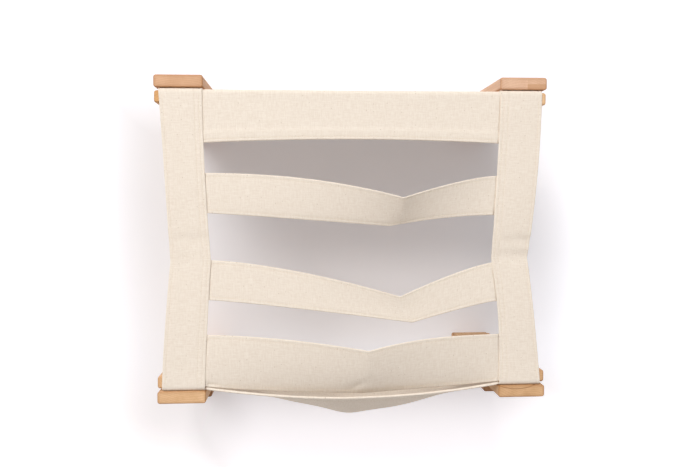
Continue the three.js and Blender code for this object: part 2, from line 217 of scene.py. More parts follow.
def smooth_noise(s, t, cell, seed):
    """Random heights from -1 to 1 over a plane, which change smoothly over about one cell."""
    size = 128
    grid = np.random.default_rng(seed).uniform(-1, 1, (size, size))
    a, b = np.broadcast_arrays(s / cell, t / cell)
    i, j = np.floor(a).astype(int), np.floor(b).astype(int)
    u, v = eased(a - i), eased(b - j)
    i0, i1, j0, j1 = i % size, (i + 1) % size, j % size, (j + 1) % size
    low = grid[i0, j0] * (1 - u) + grid[i1, j0] * u
    high = grid[i0, j1] * (1 - u) + grid[i1, j1] * u
    return low * (1 - v) + high * v


def wrinkles(s, t, height, seed):
    broad = smooth_noise(s, t, BROAD_WRINKLE, seed)
    small = smooth_noise(s, t, SMALL_WRINKLE, seed + 1)
    return height * (broad + SMALL_SHARE * small)


def step_up(x, start, width):
    """0 before start, 1 past start + width, smooth between them."""
    return eased(np.clip((x - start) / width, 0, 1))


def hill(x, width):
    return np.exp(-((x / width) ** 2))


# Objects and meshes


def new_object(name, data):
    made = bpy.data.objects.new(name, data)
    bpy.context.scene.collection.objects.link(made)
    return made


def new_mesh(name, vertices, faces):
    mesh = bpy.data.meshes.new(name)
    mesh.from_pydata(np.asarray(vertices, float).tolist(), [], faces)
    mesh.update()
    return mesh


def add_object(name, vertices, faces, smooth=True):
    mesh = new_mesh(name, vertices, np.asarray(faces).tolist())
    mesh.polygons.foreach_set("use_smooth", [smooth] * len(mesh.polygons))
    return new_object(name, mesh)


def rework(mesh, change):
    whole = bmesh.new()
    whole.from_mesh(mesh)
    change(whole)
    whole.to_mesh(mesh)
    whole.free()


# Sheets of cloth


def grid_lines(length, step, fine=()):
    """Places along one side of a sheet: a step apart, and closer at its ends and fine places."""
    rim = CLOTH * (1 - np.cos(np.linspace(0, QUARTER, RIM_STEPS + 1)))
    marks = [*rim, *(length - rim)]
    for seam in fine:
        marks += [seam + k * SEAM_HALF for k in SEAM_LINES]
    marks = np.array(marks)
    plain = np.linspace(0, length, round(length / step) + 1)
    far = [p for p in plain if np.abs(marks - p).min() > CLEAR_SHARE * step]
    return np.unique(np.round([*marks, *far], GRID_DECIMALS))


def normals_of(surface, s, t):
    reach = 0.2 * MM
    along = surface(s + reach, t) - surface(s - reach, t)
    across = surface(s, t + reach) - surface(s, t - reach)
    normal = np.cross(along, across)
    return normal / np.linalg.norm(normal, axis=-1, keepdims=True)


def plain_layer(s, t):
    return np.full(np.broadcast(s, t).shape, CLOTH / 2)


class Cloth(Values):
    """A sheet of cloth. It has a flat size, a surface that gives the point in space of each place of
    the flat cut, and the height of its face and its back over that surface. Seams are the lines t
    that are sewn. Its grid is dense there, and at the lines t in fine and the lines s in joins."""

    seams = fine = joins = ()
    face = back = staticmethod(plain_layer)
    keep = staticmethod(lambda s, t: np.ones(s.shape, bool))

    def nose(self, s, t):
        """0 on the rim of the sheet and 1 inside it, in a quarter round."""
        ends = np.minimum(s, self.size[0] - s)
        edge = np.minimum(ends, np.minimum(t, self.size[1] - t))
        depth = np.clip(edge / CLOTH, 0, 1)
        return np.sqrt(np.clip(1 - (1 - depth) ** 2, 0, 1))

    def sink(self, s, t):
        """How far both faces are pulled in along the seams."""
        return SEAM_SINK * np.minimum(sum(hill(t - seam, SEAM_SPREAD) for seam in self.seams), 1)

    def kept(self, s, t):
        """Which faces of a grid are left after the cut."""
        return self.keep((s[:-1, :-1] + s[1:, 1:]) / 2, (t[:-1, :-1] + t[1:, 1:]) / 2)

    def cut(self):
        """Its width, length and area before it was hung, measured over the middle surface."""
        lines = [np.linspace(0, side, CUT_PLACES) for side in self.size]
        s, t = np.meshgrid(*lines, indexing="ij")
        middle = self.surface(s, t)
        along, across = np.diff(middle, axis=0), np.diff(middle, axis=1)
        width = np.linalg.norm(along, axis=-1).sum(0).max()
        length = np.linalg.norm(across, axis=-1).sum(1).max()
        cells = np.linalg.norm(np.cross(along[:, :-1], across[:-1]), axis=-1)
        return (width, length), (cells * self.kept(s, t)).sum()

    def build(self):
        s, t = np.meshgrid(
            grid_lines(self.size[0], FINE_STEP, self.joins),
            grid_lines(self.size[1], FINE_STEP, (*self.seams, *self.fine)),
            indexing="ij",
        )
        middle = self.surface(s, t)
        normal = normals_of(self.surface, s, t)
        nose, sink = self.nose(s, t), self.sink(s, t)
        face = middle + (nose * (self.face(s, t) - sink))[..., None] * normal
        back = middle - (nose * (self.back(s, t) - sink))[..., None] * normal
        kept = self.kept(s, t)
        padded = np.zeros((s.shape[0] + 1, s.shape[1] + 1), int)
        padded[1:-1, 1:-1] = kept
        around = padded[:-1, :-1] + padded[1:, :-1] + padded[:-1, 1:] + padded[1:, 1:]
        used, inside = around > 0, around == 4
        front_of = np.cumsum(used.ravel()).reshape(s.shape) - 1
        back_of = front_of.copy()
        back_of[inside] = used.sum() + np.arange(inside.sum())
        points = np.where(inside[..., None], face, middle)
        vertices = np.concatenate([points[used], back[inside]])
        i, j = np.nonzero(kept)
        corners = [(i, j), (i + 1, j), (i + 1, j + 1), (i, j + 1)]
        front_faces = np.stack([front_of[place] for place in corners], 1)
        back_faces = np.stack([back_of[place] for place in reversed(corners)], 1)
        faces = np.concatenate([front_faces, back_faces])
        made = add_object(self.name, vertices, faces)
        flat = np.stack([np.concatenate([place[used], place[inside]]) for place in (s, t)], 1)
        layer = made.data.uv_layers.new(name="flat")
        layer.uv.foreach_set("vector", flat[faces.ravel()].astype(np.float32).ravel())
        return made


def doubled_layer(s, t):
    return plain_layer(s, t) + BAND_DOUBLING


def hemmed(*distances):
    """The height of a face that is thicker within a hem's width of each distance."""

    def height(s, t):
        layer = np.zeros(np.broadcast(s, t).shape)
        for distance in distances:
            layer = np.maximum(layer, 1 - step_up(distance(s, t), HEM_WIDTH, HEM_STEP))
        return CLOTH / 2 + HEM_EXTRA * layer

    return height


def beaded(height, distance):
    """A height with a round bead along the edge that the distance is measured from."""

    def with_bead(s, t):
        along = np.clip((distance(s, t) - BEAD_RADIUS) / BEAD_RADIUS, -1, 1)
        return np.maximum(height(s, t), BEAD_RADIUS * np.sqrt(1 - along**2))

    return with_bead


# Forms of the canvas


def span_shape(x):
    return np.maximum(0, 1 - (x / HALF_CLEAR) ** 2)


def hang_shape(x, form):
    low_x = form.low * HALF_CLEAR
    end = np.where(x < low_x, -HALF_CLEAR, HALF_CLEAR)
    share = np.clip((x - low_x) / (end - low_x), 0, 1)
    return 1 - np.where(x < low_x, share ** form.bows[0], share ** form.bows[1])


def strip_pull(z, pull, bows):
    """How far an edge of a strip is drawn in: not at all at both folds and fully at the waist."""
    end = np.where(z > WAIST_Z, FOLD_Z, -FOLD_Z)
    share = np.clip((z - end) / (WAIST_Z - end), 0, 1)
    return pull * np.where(z > WAIST_Z, share ** bows[0], share ** bows[1])


def strip_edges(strip, z):
    inner = STRIP_INNER_X - strip_pull(z, *strip.inner)
    return inner, STRIP_OUTER_X - strip_pull(z, *strip.outer)


def waist_crease(strip, z, share):
    """How far the strip is drawn back at its waist, more at its outer edge."""
    away = np.sqrt((z - WAIST_Z) ** 2 + CREASE.blunt**2) - CREASE.blunt
    depth = strip.crease * (CREASE.inner + CREASE.growth * np.clip(share, 0, 1))
    return depth * np.exp(-away / CREASE.reach)


def waist_folds(strip, z, share):
    """Shallow folds near the strip's waist, each with a depth at its inner and at its outer edge."""
    total = 0
    for fold_z, inner, outer in strip.folds:
        width = np.where(z > fold_z, *FOLD_WIDTHS)
        depth = inner + (outer - inner) * np.clip(share, 0, 1)
        total = total + depth * hill(z - fold_z, width)
    return total


def strip_groove(x, z):
    """How far cloth is drawn back beside the inner edges of the two strips it is sewn to."""
    past_left = x + strip_edges(LEFT_STRIP, z)[0] - GROOVE.place
    past_right = strip_edges(RIGHT_STRIP, z)[0] - x - GROOVE.place
    left = GROOVE.left * hill(past_left, GROOVE.width)
    return left + GROOVE.right * hill(past_right, GROOVE.width)


def fold_over(distance, radius):
    """Along a path that comes forward over an arm, bends down and goes on down: y and z."""
    angle = np.clip(distance / radius, 0, QUARTER)
    y = FOLD_Y - radius * np.sin(angle) + np.maximum(0, -distance)
    z = FOLD_Z + radius * np.cos(angle) - np.maximum(0, distance - QUARTER * radius)
    return y, z


def roof_and_top_band():
    """One cloth: the roof from its back hem to the fold, and the band that hangs from the fold."""
    roof_length = BACK_HEM_Y - FOLD_Y
    bend = QUARTER * SHEET_FOLD
    hang = TOP_BAND_DROP - SHEET_FOLD
    size = (2 * STRIP_OUTER_X, roof_length + bend + hang)
    edges = [side * (STRIP_INNER_X - off) for side in (-1, 1) for off in ROOF_JOIN_LINES]

    def surface(s, t):
        x = s - STRIP_OUTER_X
        ahead = t - roof_length
        shrink = 1 - TOP_BAND_ARCH * span_shape(x) / hang
        ahead = np.where(ahead > bend, bend + (ahead - bend) * shrink, ahead)
        y, z = fold_over(ahead, SHEET_FOLD)
        belly = ROOF_BELLY * np.sin(np.pi * np.clip(t / roof_length, 0, 1))
        wave = wrinkles(s, t, *ROOF_WRINKLES) * np.sqrt(span_shape(x))
        z = z - span_shape(x) * (ROOF_FRONT_SAG + belly) + wave * step_up(-ahead, 0, TOP_BAND_EASE)
        hanging = step_up(ahead, bend, TOP_BAND_EASE)
        y = y + wave * hanging + strip_groove(x, z) * hanging
        return np.stack([x, y, z], -1)

    def keep(s, t):
        return (t < roof_length) | (np.abs(s - STRIP_OUTER_X) < STRIP_INNER_X + SEAM_REACH)

    return Cloth(
        name="roof_and_top_band",
        size=size,
        surface=surface,
        back=hemmed(lambda s, t: size[1] - t, lambda s, t: t),
        seams=(HEM_WIDTH, size[1] - EDGE_SEAM),
        joins=[STRIP_OUTER_X + edge for edge in edges],
        keep=keep,
    )


def floor():
    """Clamped along both sides, with a rolled hem along its front edge."""
    size = (2 * STRIP_OUTER_X, BACK_HEM_Y - SHEET_Y)

    def to_front(s, t):
        return size[1] - t

    def surface(s, t):
        x = s - STRIP_OUTER_X
        share = t / size[1]
        over_arm = step_up(np.abs(x), HALF_CLEAR - ARM_EDGE, 2 * ARM_EDGE)
        y = BACK_HEM_Y - t + over_arm * (FOLD_Y - SHEET_Y) * share
        belly = FLOOR_BELLY.sag * hang_shape(x, FLOOR_BELLY)
        dent = FLOOR_DENT.sag * hill(x - FLOOR_DENT.x, FLOOR_DENT.width)
        sag = (belly + dent) * np.sin(np.pi * np.clip(share, 0, 1))
        front = FLOOR_FRONT.sag * hang_shape(x, FLOOR_FRONT)
        wave = wrinkles(s, t, *FLOOR_WRINKLES) * np.sqrt(span_shape(x))
        wave = wave * step_up(to_front(s, t), 0, FREE_EASE)
        return np.stack([x, y, -SHEET_Z - front - sag + wave], -1)

    return Cloth(
        name="floor",
        size=size,
        surface=surface,
        face=beaded(hemmed(to_front, lambda s, t: t), to_front),
        back=beaded(plain_layer, to_front),
        seams=(HEM_WIDTH, size[1] - HEM_WIDTH),
        fine=(size[1] - BEAD_RADIUS, size[1] - 2 * BEAD_RADIUS),
    )


def side_strip(name, strip):
    """Tucked between the boards at both ends, folded round the inner boards and drawn in between."""
    tuck = TUCK_Y - FOLD_Y
    bend = QUARTER * STRIP_FOLD
    size = (2 * (tuck + bend + FOLD_Z), STRIP_WIDTH)
    half = size[0] / 2

    def surface(s, t):
        ahead = half - np.abs(s - half) - tuck
        y, z = fold_over(ahead, STRIP_FOLD)
        z = np.where(s < half, z, -z)
        inner, outer = strip_edges(strip, z)
        share = t / STRIP_WIDTH
        free = step_up(ahead, bend, FREE_EASE)
        crease = waist_crease(strip, z, share) + waist_folds(strip, z, share)
        x = strip.side * (inner + (outer - inner) * share)
        y = y + free * (wrinkles(s, t, *strip.wrinkles) + crease)
        return np.stack([x, y, z], -1)

    seams = (EDGE_SEAM, SECOND_SEAM, STRIP_WIDTH - EDGE_SEAM)
    return Cloth(name=name, size=size, surface=surface, seams=seams)


def dip(x, ends, low, depth, bows):
    """How deep an edge dips between its two ends."""
    low_x = low * HALF_CLEAR
    end = np.where(x < low_x, *ends)
    share = np.maximum(0, (x - end) / (low_x - end))
    return depth * np.where(x < low_x, share ** bows[0], share ** bows[1])


def cross_band(name, band, dent=None):
    """A band with a dip in each edge, whose right end is lower than its left end. At the dip its top
    edge leans forward and its lower edge is tucked back, or forward where tuck is below 0."""
    top_z = band.middle + band.width / 2
    bottom_z = band.middle - band.width / 2
    ends = (-strip_edges(LEFT_STRIP, band.middle)[0], strip_edges(RIGHT_STRIP, band.middle)[0])
    span = ends[1] - ends[0] + 2 * SEAM_REACH
    size = (span * BAND_SLACK, band.width)
    joins = [SEAM_REACH + off for off in BAND_JOIN_LINES]
    joins += [size[0] - SEAM_REACH - off for off in BAND_JOIN_LINES]

    def surface(s, t):
        x = ends[0] - SEAM_REACH + s / BAND_SLACK
        share = t / band.width
        fall = (x - ends[0]) / (ends[1] - ends[0]) - 0.5
        top = top_z - dip(x, ends, band.top_low, *band.top) - band.tilt[0] * fall
        bottom = bottom_z - dip(x, ends, band.bottom_low, *band.bottom) - band.tilt[1] * fall
        z = top + (bottom - top) * share
        inside = np.clip(share, 0, 1)
        lean = dip(x, ends, band.top_low, *band.lean) * (1 - inside) ** band.lean_fall
        tuck = dip(x, ends, band.top_low, *band.tuck) * inside ** band.tuck_rise
        free = step_up(s, SEAM_REACH, FREE_EASE) * step_up(size[0] - s, SEAM_REACH, FREE_EASE)
        y = SHEET_Y - lean + tuck + free * wrinkles(s, t, *band.wrinkles)
        for strip, end in zip((LEFT_STRIP, RIGHT_STRIP), ends):
            y = y + waist_crease(strip, z, 0) * hill(x - end, FREE_EASE)
        if dent is not None:
            y = y + dent(x, z)
        return np.stack([x, y + strip_groove(x, z), z], -1)

    return Cloth(
        name=name,
        size=size,
        surface=surface,
        back=doubled_layer,
        seams=(EDGE_SEAM, size[1] - EDGE_SEAM),
        joins=joins,
    )


def bottom_band_dents(x, z):
    """A pinch where the lower left corner is sewn, and a soft fold that rises from the lower edge."""
    pinch = BAND_PINCH.depth * hill(x - BAND_PINCH.x, BAND_PINCH.width)
    pinch = pinch * hill(z - BAND_PINCH.z, BAND_PINCH.height)
    right, up = x - BAND_FOLD.x, z - BAND_FOLD.z
    turn = BAND_FOLD.turn
    along = right * cos(turn) + up * sin(turn)
    aside = up * cos(turn) - right * sin(turn)
    fold = BAND_FOLD.depth * hill(along, BAND_FOLD.length)
    return pinch + fold * hill(aside - BAND_FOLD.aside, BAND_FOLD.width)


# Stitches

# Places along a stitch, as shares of its length, and the thread's height there in thread radii
STITCH_LINE = ((-0.5, -1.4), (-0.36, 0.1), (0, 0.75), (0.36, 0.1), (0.5, -1.4))
STITCH_SIDES = 6


def stitch_shape():
    """One stitch along x: rings round a line that dives into the cloth at both ends."""
    k = np.arange(STITCH_SIDES)
    rings = []
    for share, height in STITCH_LINE:
        for turn in k * 2 * pi / STITCH_SIDES:
            aside = THREAD_RADIUS * cos(turn)
            rings.append((share * STITCH_LENGTH, aside, THREAD_RADIUS * (height + sin(turn))))
    here = np.arange(len(STITCH_LINE) - 1)[:, None] * STITCH_SIDES
    there = here + STITCH_SIDES
    after = (k + 1) % STITCH_SIDES
    faces = np.stack([here + k, there + k, there + after, here + after], -1)
    return np.array(rings), faces.reshape(-1, 4)


def stitches_along(cloth, seam, side, margin):
    """Stitches on one face of a cloth, along the line t = seam. They stop at a margin from its ends."""
    length = cloth.size[0] - margin - margin
    count = int(length / STITCH_PITCH)
    s = margin + (np.arange(count) + 0.5) * length / count
    t = np.full(count, seam)
    reach = STITCH_LENGTH / 2
    normal = side * normals_of(cloth.surface, s, t)
    along = cloth.surface(s + reach, t) - cloth.surface(s - reach, t)
    along /= np.linalg.norm(along, axis=1, keepdims=True)
    axes = np.stack([along, np.cross(normal, along), normal], 1)
    rings, faces = stitch_shape()
    height = (cloth.face if side > 0 else cloth.back)(s, t) - SEAM_SINK
    middle = cloth.surface(s, t) + height[:, None] * normal
    vertices = middle[:, None, :] + np.einsum("kc,ncx->nkx", rings, axes)
    offsets = np.arange(count)[:, None, None] * len(rings)
    return vertices.reshape(-1, 3), (faces[None] + offsets).reshape(-1, 4)


def stitching(cloth, margin):
    """All the stitches of a cloth as one piece."""
    vertices, faces, total = [], [], 0
    for seam in cloth.seams:
        for side in (1, -1):
            points, corners = stitches_along(cloth, seam, side, margin)
            vertices.append(points)
            faces.append(corners + total)
            total += len(points)
    return add_object(cloth.name + "_stitching", np.concatenate(vertices), np.concatenate(faces))


# Wood

WELD_REACH = 0.001 * MM
WOOD_CORNER = radians(40)


def smoothed_copy(name):
    """A wooden solid of the frame again, with its shared corners joined and its round edges smooth."""
    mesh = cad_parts[name].data.copy()
    mesh.materials.clear()
    made = new_object(name + FINISHED, mesh)
    rework(mesh, lambda whole: bmesh.ops.remove_doubles(whole, verts=whole.verts, dist=WELD_REACH))
    smooth_up_to(mesh, WOOD_CORNER)
    flat_faces = made.modifiers.new("flat_faces", "WEIGHTED_NORMAL")
    flat_faces.mode = "FACE_AREA"
    flat_faces.weight = 100
    flat_faces.keep_sharp = True
    return made


def smooth_up_to(mesh, corner):
    """Shades a mesh smooth, apart from its edges that are sharper than a corner."""
    mesh.polygons.foreach_set("use_smooth", [True] * len(mesh.polygons))
    mesh.set_sharp_from_angle(angle=corner)


# Screws. Each points down -z, a wood screw from its head's top at the origin.

SCREW_SIDES = 24
SCREW_ANGLES = np.arange(SCREW_SIDES) * 2 * pi / SCREW_SIDES
SMALL_SCREW = Values(core=1.6 * MM, crest=2.1 * MM, pitch=1.8 * MM, head=2.8 * MM, plain=8 * MM)
BOARD_SCREW = Values(core=1.9 * MM, crest=2.5 * MM, pitch=2.2 * MM, head=3.2 * MM, plain=18 * MM)
SCREWS = {
    "clamp_screw": SMALL_SCREW,
    "rail_screw": SMALL_SCREW,
    "board_screw": BOARD_SCREW,
    "lag_screw": Values(core=3 * MM, crest=4 * MM, pitch=3.2 * MM, plain=22 * MM),
}
SHANK_SHARE = 1.1
THREAD_START = 0.3 * MM
THREAD_END = 0.2 * MM
THREAD_STEPS = 6
THREAD_SLOPE = 3.2
SCREW_TIP = 6 * MM
TIP_RADIUS = 0.1 * MM
METAL_CORNER = radians(35)
WOOD_HEAD = Values(flat_share=0.8, round=0.15 * MM, rim=0.45 * MM)
RECESS = Values(reach=4.6 * MM, width=1.1 * MM, depth=1.8 * MM, top_share=1.6, bottom_share=0.45)
LAG_HEAD = Values(
    across=13 * MM,
    height=5.5 * MM,
    middle_share=0.5,
    face_share=0.96,
    chamfer=radians(30),
    root=((0.3 * MM, 0), (0.1 * MM, 0.4 * MM)),
    flange_radius=8.5 * MM,
    flange_height=1.6 * MM,
    flange_rim=((1, 0.96), (0.7, 1), (0.1, 1), (0, 0.98)),
    thread_above=1 * MM,
)


def turned(name, rows):
    """A closed body from rows of (height, radius), each a number or one value per side."""
    ahead, aside, flat = np.cos(SCREW_ANGLES), np.sin(SCREW_ANGLES), np.ones(SCREW_SIDES)
    rings = [
        np.stack([radius * ahead, radius * aside, height * flat], 1) for height, radius in rows
    ]
    vertices = np.concatenate([*rings, [rings[0].mean(0), rings[-1].mean(0)]])
    k = np.arange(SCREW_SIDES)
    after = (k + 1) % SCREW_SIDES
    faces = []
    last = (len(rings) - 1) * SCREW_SIDES
    for a in range(0, last, SCREW_SIDES):
        b = a + SCREW_SIDES
        faces += np.stack([a + after, a + k, b + k, b + after], 1).tolist()
    pairs = list(zip(k.tolist(), after.tolist()))
    faces += [[len(vertices) - 2, i, j] for i, j in pairs]
    faces += [[len(vertices) - 1, last + j, last + i] for i, j in pairs]
    return new_mesh(name, vertices, faces)


def shank_rows(kind, length):
    """A plain shank, then a thread that winds down to the tip."""
    screw = SCREWS[kind]
    plain, pitch, core = screw.plain, screw.pitch, screw.core
    angles = np.arange(SCREW_SIDES) / SCREW_SIDES
    rows = [(-plain, SHANK_SHARE * core)]
    for depth in np.arange(plain + THREAD_START, length - THREAD_END, pitch / THREAD_STEPS):
        turn = (depth / pitch + angles) % 1
        ridge = np.maximum(0, 1 - THREAD_SLOPE * np.abs(turn - 0.5)) * min(1, (depth - plain) / pitch)
        taper = min(1, (length - depth) / SCREW_TIP)
        rows.append((-depth, taper * (core + (screw.crest - core) * ridge)))
    return [*rows, (-length, TIP_RADIUS)]


def wood_screw_mesh(kind, length, head_radius):
    screw = SCREWS[kind]
    rows = [
        (0, WOOD_HEAD.flat_share * head_radius),
        (0, head_radius - WOOD_HEAD.round),
        (-WOOD_HEAD.round, head_radius),
        (-WOOD_HEAD.rim, head_radius),
        (-screw.head, SHANK_SHARE * screw.core),
        *shank_rows(kind, length),
    ]
    body = new_object(kind, turned(kind, rows))
    cutters = [recess_cutter(turn) for turn in (0, QUARTER)]
    for cutter in cutters:
        cut = body.modifiers.new("recess", "BOOLEAN")
        cut.operation = "DIFFERENCE"
        cut.object = cutter
    bpy.context.view_layer.update()
    evaluated = body.evaluated_get(bpy.context.evaluated_depsgraph_get())
    mesh = bpy.data.meshes.new_from_object(evaluated)
    for used in (body, *cutters):
        bpy.data.objects.remove(used)
    return mesh


def recess_cutter(turn):
    """One slot of the cross recess, narrower at its bottom."""
    reach, width, depth = RECESS.reach / 2, RECESS.width / 2, RECESS.depth
    corners = [
        (sx * reach * scale, sy * width * scale, z)
        for z, scale in ((depth, RECESS.top_share), (-depth, RECESS.bottom_share))
        for sx, sy in SQUARE
    ]
    faces = [(3, 2, 1, 0), (4, 5, 6, 7), (0, 1, 5, 4), (1, 2, 6, 5), (2, 3, 7, 6), (3, 0, 4, 7)]
    cutter = add_object("recess_cutter", corners, faces, smooth=False)
    cutter.data.transform(Matrix.Rotation(turn, 4, "Z"))
    rework(cutter.data, lambda whole: bmesh.ops.recalc_face_normals(whole, faces=whole.faces))
    return cutter


def lag_screw_mesh(kind, length):
    """A chamfered hexagon on a round flange, whose underside is at the origin."""
    apothem = LAG_HEAD.across / 2
    face = LAG_HEAD.face_share * apothem
    sixth = pi / 3
    hexagon = apothem / np.cos((SCREW_ANGLES + sixth / 2) % sixth - sixth / 2)
    top, flange, step = LAG_HEAD.height, LAG_HEAD.flange_radius, LAG_HEAD.flange_height
    crest, plain = SCREWS[kind].crest, SCREWS[kind].plain
    rows = [
        (top, LAG_HEAD.middle_share * apothem),
        (top, face),
        (top - (hexagon - face) * tan(LAG_HEAD.chamfer), hexagon),
        *((step + rise, hexagon + out) for rise, out in LAG_HEAD.root),
        *((high * step, wide * flange) for high, wide in LAG_HEAD.flange_rim),
        (0, crest),
        (-plain + LAG_HEAD.thread_above, crest),
        *shank_rows(kind, length),
    ]
    return turned(kind, rows)


def screw_place(name, kind):
    """Where a screw's origin is and which way it is turned, from its solid's box."""
    low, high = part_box(name)
    middle = (low + high) / 2
    if kind == "lag_screw":
        place, turn = (middle.x, low.y + LAG_HEAD.height, middle.z), QUARTER
    elif kind == "board_screw":
        place, turn = (middle.x, high.y, middle.z), -QUARTER
    elif middle.z > 0:
        place, turn = (middle.x, middle.y, high.z), 0
    else:
        place, turn = (middle.x, middle.y, low.z), pi
    return Matrix.Translation(place) @ Matrix.Rotation(turn, 4, "X")


def screw_mesh(name, kind):
    low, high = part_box(name)
    sizes = sorted(high - low)
    if kind == "lag_screw":
        mesh = lag_screw_mesh(kind, sizes[2] - LAG_HEAD.height)
    else:
        mesh = wood_screw_mesh(kind, sizes[2], sizes[1] / 2)
    smooth_up_to(mesh, METAL_CORNER)
    return mesh


# Materials


class Nodes:
    """The node tree of a material or a world, written as nested calls."""

    def __init__(self, owner, shader="Principled BSDF"):
        owner.use_nodes = True
        self.owner = owner
        self.tree = owner.node_tree
        self.shader = self.tree.nodes[shader]

    def add(self, kind, inputs=None, **settings):
        """Adds a node and sets its inputs, each given by its name or its number."""
        node = self.tree.nodes.new(kind)
        for key, value in settings.items():
            setattr(node, key, value)
        for key, value in (inputs or {}).items():
            self.put(node.inputs[key], value)
        return node

    def put(self, socket, value):
        if isinstance(value, bpy.types.NodeSocket):
            self.tree.links.new(value, socket)
        else:
            socket.default_value = value

    def look(self, **values):
        """Sets sockets of the shader, whose names are written with _ for a space."""
        for key, value in values.items():
            self.put(self.shader.inputs[key.replace("_", " ")], value)

    def math(self, operation, *values):
        return self.add("ShaderNodeMath", dict(enumerate(values)), operation=operation).outputs[0]

    def product(self, first, *others):
        for value in others:
            first = self.math("MULTIPLY", first, value)
        return first

    def largest(self, first, *others):
        for value in others:
            first = self.math("MAXIMUM", first, value)
        return first

    def sum(self, *weighted):
        """The sum of (value, weight) pairs."""
        total = 0.0
        for value, weight in weighted:
            total = self.math("MULTIPLY_ADD", value, weight, total)
        return total

    def mix(self, factor, a, b):
        return self.add("ShaderNodeMix", {0: factor, 6: a, 7: b}, data_type="RGBA").outputs[2]

    def ramp(self, value, low, high, low_out=0.0, high_out=1.0):
        inputs = dict(enumerate((value, low, high, low_out, high_out)))
        return self.add("ShaderNodeMapRange", inputs, interpolation_type="SMOOTHSTEP").outputs["Result"]

    def off(self, value, middle):
        """How far a value is from the middle."""
        return self.math("ABSOLUTE", self.math("SUBTRACT", value, middle))

    def length(self, a, b):
        """How far a place is that lies a away on one axis and b away on the other."""
        return self.math("SQRT", self.math("MULTIPLY_ADD", a, a, self.math("MULTIPLY", b, b)))

    def noise(self, vector, detail=2.0, rough=0.5):
        inputs = {"Vector": vector, "Scale": 1.0, "Detail": detail, "Roughness": rough}
        return self.add("ShaderNodeTexNoise", inputs).outputs["Fac"]

    def scaled(self, vector, scale, location=(0, 0, 0)):
        inputs = {"Vector": vector, "Scale": scale, "Location": location}
        return self.add("ShaderNodeMapping", inputs).outputs["Vector"]

    def seen(self):
        """1 for what the camera sees, in mirrors and through glass too, and 0 for other light."""
        ray = self.add("ShaderNodeLightPath").outputs
        return self.largest(ray["Is Camera Ray"], ray["Is Glossy Ray"], ray["Is Transmission Ray"])

    def place(self):
        return self.add("ShaderNodeTexCoord").outputs["Object"]

    def parts(self, vector):
        return self.add("ShaderNodeSeparateXYZ", {"Vector": vector}).outputs

    def bump(self, height, strength, distance):
        inputs = {"Height": height, "Strength": strength, "Distance": distance}
        return self.add("ShaderNodeBump", inputs).outputs["Normal"]


def rgb(red, green, blue):
    """A colour of 0 to 255 as it shows, in the linear numbers that shaders take."""

    def linear(level):
        share = level / 255
        return share / 12.92 if share <= 0.04045 else ((share + 0.055) / 1.055) ** 2.4

    return linear(red), linear(green), linear(blue), 1.0


# Looks. A grain is the number of cells of noise in a metre along each axis, and where it starts if
# that isn't 0. A ramp is where it starts and ends, and the levels there if they aren't 0 and 1.

CANVAS = Values(
    thread_pitch=0.9 * MM,
    slub_grain=(1100, 80, 1),
    cross_slub_grain=((80, 1100, 1), (7, 3, 0)),
    mottle_grain=((300, 300, 1), (3, 9, 0)),
    fleck_grain=((120, 95, 1), (11, 5, 0)),
    detail=3.0,
    mottle_rough=0.6,
    weights=(0.4, 0.34, 0.26),
    tone=(0.36, 0.64),
    dark=rgb(234, 221, 206),
    light=rgb(245, 235, 222),
    gaps=(0.45, 0.95, 0.12, 0.0),
    gap=rgb(190, 170, 145),
    fleck_rim=(0.03, 0.09, 1.0, 0.0),
    fleck_chance=(0.86, 0.88, 0.0, 0.35),
    fleck=rgb(166, 140, 110),
    slub_weight=0.5,
    relief=(0.6, 0.8),
    bump=(0.3, 0.22 * MM),
)


def canvas_material():
    """Plain weave with slubs, faint mottling, seed specks and painted shade in its gaps, on the flat
    cut.
    """
    n = Nodes(bpy.data.materials.new("natural_canvas"))
    flat = n.add("ShaderNodeUVMap", uv_map="flat").outputs["UV"]
    density = 1 / CANVAS.thread_pitch
    u, v, _ = n.parts(n.scaled(flat, (density, density, 1)))
    across, along = (n.math("ABSOLUTE", n.math("SINE", n.product(place, pi))) for place in (u, v))
    cell = n.math("ADD", n.math("FLOOR", u), n.math("FLOOR", v))
    over = n.math("MULTIPLY_ADD", n.math("COSINE", n.product(cell, pi)), 0.5, 0.5)
    warp = n.product(across, n.math("MULTIPLY_ADD", over, 0.5, 0.5))
    weft = n.product(along, n.math("MULTIPLY_ADD", over, -0.5, 1.0))
    weave = n.largest(warp, weft)
    detail = CANVAS.detail
    slub_up = n.noise(n.scaled(flat, CANVAS.slub_grain), detail)
    slub_across = n.noise(n.scaled(flat, *CANVAS.cross_slub_grain), detail)
    mottle = n.noise(n.scaled(flat, *CANVAS.mottle_grain), detail, CANVAS.mottle_rough)
    tone = n.sum(*zip((slub_up, slub_across, mottle), CANVAS.weights))
    colour = n.mix(n.ramp(tone, *CANVAS.tone), CANVAS.dark, CANVAS.light)
    # Darker in the gaps between threads: painted shade in the weave
    colour = n.mix(n.ramp(weave, *CANVAS.gaps), colour, CANVAS.gap)
    inputs = {"Vector": n.scaled(flat, *CANVAS.fleck_grain), "Scale": 1.0}
    flecks = n.add("ShaderNodeTexVoronoi", inputs, voronoi_dimensions="2D")
    chance = n.add("ShaderNodeSeparateColor", {"Color": flecks.outputs["Color"]}).outputs["Red"]
    near = n.ramp(flecks.outputs["Distance"], *CANVAS.fleck_rim)
    fleck = n.product(near, n.ramp(chance, *CANVAS.fleck_chance))
    colour = n.mix(fleck, colour, CANVAS.fleck)
    slubs = n.sum((slub_up, CANVAS.slub_weight), (slub_across, CANVAS.slub_weight))
    normal = n.bump(n.sum(*zip((weave, slubs), CANVAS.relief)), *CANVAS.bump)
    n.look(Base_Color=colour, Roughness=0.93, Specular_IOR_Level=0.2, Normal=normal)
    n.look(Sheen_Weight=0.05, Sheen_Roughness=0.5)
    return n.owner


